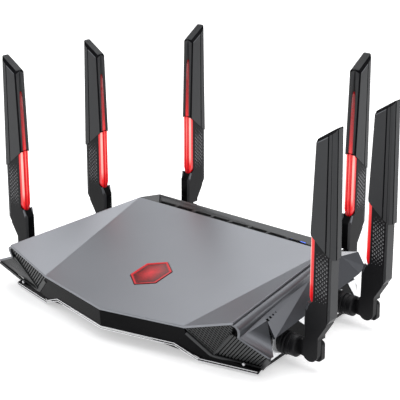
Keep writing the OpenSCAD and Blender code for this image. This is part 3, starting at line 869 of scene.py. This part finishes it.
def power_inlet(front):
    bm = bmesh.new()
    add_lathe(bm, [(0, 4.15), (12.4, 4.15), (13.6, 3.7), (13.6, 2.85), (3.2, 2.85)],
              (DC_X, front - 11.6, DC_Z), (0, 1, 0), 0)
    add_lathe(bm, [(0, 1.0), (10.4, 1.0), (11.0, 0.6)], (DC_X, front - 11.6, DC_Z), (0, 1, 0), 1)
    make_piece("dc_jack", bm, [SATIN_BLACK, STEEL], HOUSING, "black_plastic", "dc_jack")


def buttons():
    for name, x in ROUND_BUTTONS.items():
        bm = bmesh.new()
        profile = [(-5.2, 2.0), (-1.6, 2.0), (-1.6, 4.2), (-0.4, 4.2), (-0.4, 3.4), (3.4, 3.4),
                   (3.8, 3.0), (3.75, 2.3), (3.45, 1.9), (3.4, 0.6)]
        add_lathe(bm, profile, (x, 74, BUTTON_Z), (0, 1, 0))
        make_piece(name, bm, [BUTTON], name + "_body", "button_plastic", name)
    bm = bmesh.new()
    add_lathe(bm, [(-4.9, 0.7), (-1.6, 0.7), (-1.6, 2.0), (-0.4, 2.0), (-0.4, 1.2), (1.2, 1.2), (1.4, 0.9)],
              (RESET_X, 74, BUTTON_Z), (0, 1, 0))
    make_piece("reset_button", bm, [RESET], "reset_button_body", "button_plastic", "reset_button")


# ---- Antennas ----

BLADE_H = 185.0
ARM_HALF_T = 5.2
FACE_GAP = 0.15
KNEE = (17.5, 32.0)
TONGUE_TOP = 12.0
HUB_U = -23.0
STUD_ROWS = 24
SLEEVE_IN = (-3.3, -0.6)
SLEEVE_OUT = (20.5, 17.8)
TURNS = [j["name"] for j in frame["joints"] if j["name"].endswith("_turn")]
ANTENNAS = sorted({name.removesuffix("_turn") for name in TURNS})


def antenna_matrix(name):
    """Takes a blade's own frame, u outwards, v across and w up from its hinge pin, to its place."""
    joint = next(j for j in frame["joints"] if j["name"] == name + "_fold")
    x, y, z = joint["pos_m"]
    turn = Matrix.Rotation(math.pi / 2 if name.startswith("back") else 0, 4, "Z")
    placed = Matrix.Translation((abs(x), y, z)) @ turn
    return placed if x > 0 else Matrix.Scale(-1, 4, (1, 0, 0)) @ placed


def interpolate(stops, x):
    for (xa, ya), (xb, yb) in zip(stops, stops[1:]):
        if x <= xb:
            return ya + (yb - ya) * (x - xa) / (xb - xa)
    return stops[-1][1]


# Half of the sleeve's cross-section, from the middle of its inner edge to the middle of its outer edge:
# share of the width, v, and which material the face to the next point has (0 shell, 1 black bevel)
SLEEVE_HALF = [
    (0.10, 0.0, 0), (0.0, -2.9, 0), (0.0, -4.5, 1), (0.05, -5.7, 0), (0.61, -5.7, 1), (0.62, -5.1, 1),
    (0.65, -5.1, 1), (0.665, -5.6, 0), (0.79, -5.5, 1), (0.80, -5.25, 0), (0.90, -5.1, 0), (0.985, -3.5, 1),
    (0.965, -3.1, 1), (1.0, -2.7, 0), (1.0, 0.0, 0)
]
SLEEVE_BOTTOM = [(0.0, 99.5), (0.12, 95.0), (0.87, 82.0), (1.0, 82.6)]
TROUGH_LIP = [(0.0, 2.9), (0.6, 2.5), (0.82, 1.6), (1.0, 0.4)]


def sleeve_ring(t, cap=False):
    """The sleeve's outline at a share t of its height."""
    half = []
    for share, v, _ in SLEEVE_HALF:
        u = (SLEEVE_IN[0] + (SLEEVE_IN[1] - SLEEVE_IN[0]) * t) * (1 - share)
        u += (SLEEVE_OUT[0] + (SLEEVE_OUT[1] - SLEEVE_OUT[0]) * t) * share
        slanted_top = BLADE_H - 12 + 11.8 * share
        w = interpolate(SLEEVE_BOTTOM, share)
        w += (slanted_top - (2.5 if abs(v) > 4 else 0.7) - w) * t
        if v == -2.9 and share == 0:
            v = -interpolate(TROUGH_LIP, t)
        if share == 0.10 and t > 0.9:
            u = -0.2 + (0.6 if not cap else 0.3)
        if cap:
            w = slanted_top
            v = max(v, -3.7)
            u = min(max(u, 0.25), SLEEVE_OUT[1] - 0.5)
        half.append((u, v, w))
    other = [(u, -v, w) for u, v, w in reversed(half[1:-1])]
    return half + other


def sleeve(name, matrix):
    bm = bmesh.new()
    shares = [0.0, 0.6, 0.82, 0.90, 1.0]
    rings = [sleeve_ring(t) for t in shares]
    columns = [column for _, _, column in SLEEVE_HALF[:-1]]
    made = add_loft(bm, rings, columns)
    top = [bm.verts.new(p) for p in sleeve_ring(1.0, cap=True)]
    count = len(top)
    for k in range(count):
        n = (k + 1) % count
        bm.faces.new((made[-1][k], made[-1][n], top[n], top[k])).material_index = 1
    close_ring(bm, made[0], 1)
    close_ring(bm, top, 0)
    low, high = Vector((0.9, 0, BLADE_H - 11.2)), Vector((SLEEVE_OUT[1] - 1.0, 0, BLADE_H - 0.75))
    for v in (-2.7, -0.9, 0.9, 2.7):
        shift = Vector((0, v, 0))
        add_bar(bm, low + shift, high + shift, 0.8, 0.6, (0, 0, 1), 0)
    for face in (-1, 1):
        start = Vector((0.9, face * 5.68, BLADE_H - 14.1))
        end = Vector((SLEEVE_OUT[1] - 7.2, face * 5.68, BLADE_H - 8.1))
        add_bar(bm, start, end, 0.3, 0.45, (0, 0, 1), 2)
    make_piece(name + "_sleeve", bm, [SLEEVE, BEVEL, TRIM], name + "_blade", "sleeve_grey_plastic",
               name + "_sleeve", matrix=matrix, bevel=0.28, angle=28)


def arm(name, matrix):
    bm = bmesh.new()
    levels = [
        (TONGUE_TOP, -7, 7), (15, -7, 7), (27, -7, 14.4), (36, -7, 14.4), (40.5, -4.0, 14.4),
        (44.5, 1.0, 14.4), (96, 1.0, 14.4)
    ]
    rings = []
    for w, inner, outer in levels:
        chamfer = 1.7 if w < 44 else 0.4
        edge = 3.6 if w < 44 else 4.9
        half = [(inner, 0, w), (inner, -edge, w), (inner + chamfer, -ARM_HALF_T, w), (outer, -ARM_HALF_T, w),
                (outer, 0, w)]
        rings.append(half + [(u, -v, z) for u, v, z in reversed(half[1:-1])])
    made = add_loft(bm, rings, [1, 2, 0, 0])
    for ring in (made[0], made[-1]):
        close_ring(bm, ring, 0)
    column = [(14.9, 28.6), (KNEE[0], KNEE[1] + 0.6), (17.3, 60), (17.1, 96), (14.9, 96)]
    add_prism(bm, column, "y", -5.0, 5.0, 2)
    add_prism(bm, [(14.0, 27.4), (15.3, 29.2), (15.3, 95), (14.0, 95)], "y", -4.5, 4.5, 1)
    add_prism(bm, [(-5.5, 19), (-7.35, 19), (-7.35, 35.5), (-5.5, 35.5)], "y", -2.9, 2.9, 1)
    for face in (-1, 1):
        wedge = [(-3.6, face * 5.32, 43.5), (-5.6, face * 4.3, 37.4), (-4.4, face * 5.32, 35.2),
                 (-1.9, face * 5.32, 42.4)]
        add_sheet(bm, wedge, [(0, 1, 2, 3)], [0, 1, 2, 3], (0.6, face * -1.2, 0), 4)
    tongue = [(-7, TONGUE_TOP + 0.4)]
    tongue += [(7 * math.cos(a), 7 * math.sin(a)) for a in [math.pi * (1 + k / 16) for k in range(17)]]
    tongue += [(7, TONGUE_TOP + 0.4)]
    add_prism(bm, tongue, "y", -ARM_HALF_T, -FACE_GAP, 0)
    for row in range(STUD_ROWS):
        w = 45.5 + row * 1.75
        fade = min(1.0, 0.4 + 0.12 * min(row, STUD_ROWS - 1 - row))
        for place in range(row % 2, 6, 2):
            u = 3.9 + place * 1.85
            for face in (-1, 1):
                add_stud(bm, u, face * (ARM_HALF_T - 0.05), w, 1.15 * fade, 1.5 * fade, face * 0.75, 3)
    make_piece(name + "_arm", bm, [SATIN_BLACK, GLOSS_BLACK, SLEEVE, STUD, FIN], name + "_blade",
               "arm_black_plastic", name + "_arm", matrix=matrix, bevel=0.3, angle=32)


def add_stud(bm, u, v, w, half_u, half_w, height, material):
    """A low diamond-shaped pyramid on a blade's face."""
    corners = ((u - half_u, v, w), (u, v, w - half_w), (u + half_u, v, w), (u, v, w + half_w))
    base = [bm.verts.new(p) for p in corners]
    top = bm.verts.new((u, v + height, w))
    for k in range(4):
        bm.faces.new((base[k], base[(k + 1) % 4], top)).material_index = material
    bm.faces.new(list(reversed(base))).material_index = material


def light_guide(name, matrix):
    """A ridged acrylic bar on the arm's inner edge that runs up into a trough in the sleeve."""
    bm = bmesh.new()
    glow = bm.verts.layers.float.new("glow")

    def add_run(levels, shape):
        made = []
        for w, inner, width, level in levels:
            half = [(inner + u, v * width, g * level) for u, v, g in shape]
            ring = half + [(u, -v, g) for u, v, g in reversed(half[1:-1])]
            row = []
            for u, v, g in ring:
                vert = bm.verts.new((u, v, w))
                vert[glow] = g
                row.append(vert)
            made.append(row)
        count = len(made[0])
        for lower, upper in zip(made, made[1:]):
            for k in range(count):
                n = (k + 1) % count
                bm.faces.new((lower[k], lower[n], upper[n], upper[k]))
        bm.faces.new(list(reversed(made[0])))
        bm.faces.new(made[-1])

    bar = [(-3.5, 0, 0.93), (-2.7, -0.30, 0.6), (-2.5, -0.42, 0.5), (-3.2, -0.72, 1.0), (-2.2, -0.98, 1.0),
           (-1.0, -1.0, 0.72), (0.9, -1.0, 0.62), (0.9, 0, 0.5)]
    add_run([(41.0, 0.6, 0.35, 0.30), (43.5, 0.4, 0.75, 0.5), (47.5, 0.1, 1.0, 0.75),
             (58, 0, 1.0, 0.95), (88, 0, 1.0, 1.0), (98, 0, 1.0, 0.95)],
            [(u, v * 4.5, g) for u, v, g in bar])
    core = [(-0.35, 0, 1.0), (0.15, -0.75, 0.7), (0.9, -1.0, 0.45), (1.6, 0, 0.3)]
    runs = [(93.5, -2.7, 2.75, 0.85), (102, -2.5, 2.7, 0.66), (110, -2.3, 2.65, 0.5), (128, -1.8, 2.5, 0.36),
            (142, -1.45, 2.2, 0.26), (149, -1.25, 1.95, 0.2), (152.5, -1.15, 1.3, 0.15),
            (154, -1.1, 0.4, 0.1)]
    add_run(runs, core)
    make_piece(name + "_light_guide", bm, [RED_GUIDE], name + "_blade", "red_light_guide",
               name + "_light_guide", matrix=matrix)


def knuckle(name, matrix):
    bm = bmesh.new()
    start, length = HUB_U + 0.3, 9.5
    hub = [(-13.3, 5.0), (-0.4, 5.0), (-0.4, 8.2), (0.2, 8.8), (3.0, 8.8), (3.4, 8.3), (4.2, 8.3), (4.6, 8.8),
           (length - 1.2, 8.8), (length, 7.4)]
    add_lathe(bm, hub, (start, 0, 0), (1, 0, 0))
    ear = [(HUB_U + 8.5, 6.6), (-5.0, 7.4)]
    for corner_u, corner_w, first in ((3.6, 6.0, 90), (3.9, -4.1, 0)):
        turns = [math.radians(first - 90 * k / 8) for k in range(9)]
        ear += [(corner_u + 3.6 * math.cos(a), corner_w + 3.6 * math.sin(a)) for a in turns]
    ear += [(-3.5, -7.7), (HUB_U + 8.5, -6.6)]
    add_prism(bm, ear, "y", FACE_GAP, ARM_HALF_T, 0)
    make_piece(name + "_knuckle", bm, [SATIN_BLACK], name + "_swivel", "hinge_black_plastic",
               name + "_knuckle", matrix=matrix, bevel=0.6, segments=3, angle=40)


def boss(name, matrix):
    """The barrel in the housing that an antenna's knuckle swivels in."""
    bm = bmesh.new()
    profile = [(-14.0, 9.0), (-13.4, 9.6), (-3.6, 9.6), (-3.2, 9.2), (-2.4, 9.2), (-2.0, 9.6), (-0.5, 9.6),
               (-0.02, 9.0), (-0.02, 5.2), (-3.0, 5.2)]
    add_lathe(bm, profile, (HUB_U, 0, 0), (1, 0, 0))
    make_piece(name + "_boss", bm, [SATIN_BLACK], HOUSING, "black_plastic", matrix=matrix)


def antennas():
    for name in ANTENNAS:
        matrix = antenna_matrix(name)
        sleeve(name, matrix)
        arm(name, matrix)
        light_guide(name, matrix)
        knuckle(name, matrix)
        boss(name, matrix)
        paint_node(name + "_hinge_pin", STEEL)
        paint_node(name + "_element", BOARD)


# ---- Inside and underneath ----

def inside():
    finishes = {
        "badge_light_board": BOARD, "main_board": BOARD, "heatsink": ALUMINIUM, "rf_shields": TIN,
        "antenna_leads": CABLE, "case_screws": STEEL
    }
    for node, made in finishes.items():
        paint_node(node, made)
    bm = bmesh.new()
    for x, y in ((112, -68), (-112, -68), (100, 58), (-100, 58)):
        add_lathe(bm, [(0, 6.3), (0.15, 6.7), (0.6, 7.0), (2.5, 7.0)], (x, y, 0), (0, 0, 1))
    make_piece("rubber_feet", bm, [RUBBER], HOUSING, "rubber", "rubber_feet")


# ---- Stage ----

def stage():
    bm = bmesh.new()
    bmesh.ops.create_grid(bm, x_segments=4, y_segments=4, size=6.0)
    mesh = bpy.data.meshes.new("floor")
    bm.to_mesh(mesh)
    bm.free()
    floor = bpy.data.objects.new("floor", mesh)
    floor.location.z = -0.0002
    scene.collection.objects.link(floor)
    paper = moulded("pale_floor", (0.86, 0.86, 0.86), 0.6, 0.01, 40, 0.0, specular=0.1)
    shader = paper.node_tree.nodes["Principled BSDF"]
    shader.inputs["Emission Color"].default_value = (1, 1, 1, 1)
    shader.inputs["Emission Strength"].default_value = 0.45
    mesh.materials.append(paper)

    world = bpy.data.worlds.new("studio")
    world.use_nodes = True
    nodes, links = world.node_tree.nodes, world.node_tree.links
    place = nodes.new("ShaderNodeTexCoord")
    split = nodes.new("ShaderNodeSeparateXYZ")
    links.new(place.outputs["Generated"], split.inputs["Vector"])
    sky = ramp(nodes, links, split.outputs["Z"], [
        (0.0, (0.30, 0.30, 0.31)), (0.10, (0.26, 0.26, 0.28)), (0.5, (0.85, 0.86, 0.88)),
        (1.0, (1.0, 1.0, 1.0))
    ])
    links.new(sky.outputs["Color"], nodes["Background"].inputs["Color"])
    nodes["Background"].inputs["Strength"].default_value = 0.85
    scene.world = world

    add_softbox("overhead", (0.1, 0.3, 1.7), (0, 0, 0.03), (2.2, 1.8), 15)
    add_softbox("sheen", (-0.44, 0.60, 0.70), (0.05, -0.08, 0.03), (0.42, 0.45), 0.9)
    add_softbox("right_side", (1.7, 0.1, 0.75), (0.1, 0, 0.06), (0.9, 1.2), 5)
    add_softbox("left_side", (-1.5, -0.7, 0.9), (0, 0, 0.08), (0.8, 1.0), 6)
    scene.view_settings.view_transform = "Standard"


def add_softbox(name, place, target, size, power):
    light = bpy.data.lights.new(name, "AREA")
    light.shape = "RECTANGLE"
    light.size, light.size_y = size
    light.energy = power
    lamp = bpy.data.objects.new(name, light)
    lamp.location = place
    way = Vector(place) - Vector(target)
    lamp.rotation_euler = way.to_track_quat("Z", "Y").to_euler()
    scene.collection.objects.link(lamp)


def camera():
    """Looks from the front right, about 40 degrees round and 19 degrees up."""
    azimuth, elevation = math.radians(40.38), math.radians(19.27)
    distance = 1.0093
    target = Vector((0.06244, -0.06612, 0.12280))
    back = Vector((math.sin(azimuth) * math.cos(elevation), -math.cos(azimuth) * math.cos(elevation),
                   math.sin(elevation)))
    lens = bpy.data.cameras.new("camera")
    lens.sensor_width = 36
    lens.lens = 114.92
    made = bpy.data.objects.new("camera", lens)
    made.location = target + back * distance
    made.rotation_euler = back.to_track_quat("Z", "Y").to_euler()
    scene.collection.objects.link(made)
    scene.camera = made


top_panel()
badge()
rear_deck()
status_lights()
make_piece("shoulder_trims", both_sides(shoulders), [TRIM], HOUSING, "satin_grey_plastic", "shoulder_trims")
side_fins()
grilles()
front_fascia()
tray()
back_panel()
sockets()
buttons()
antennas()
inside()
camera()
stage()
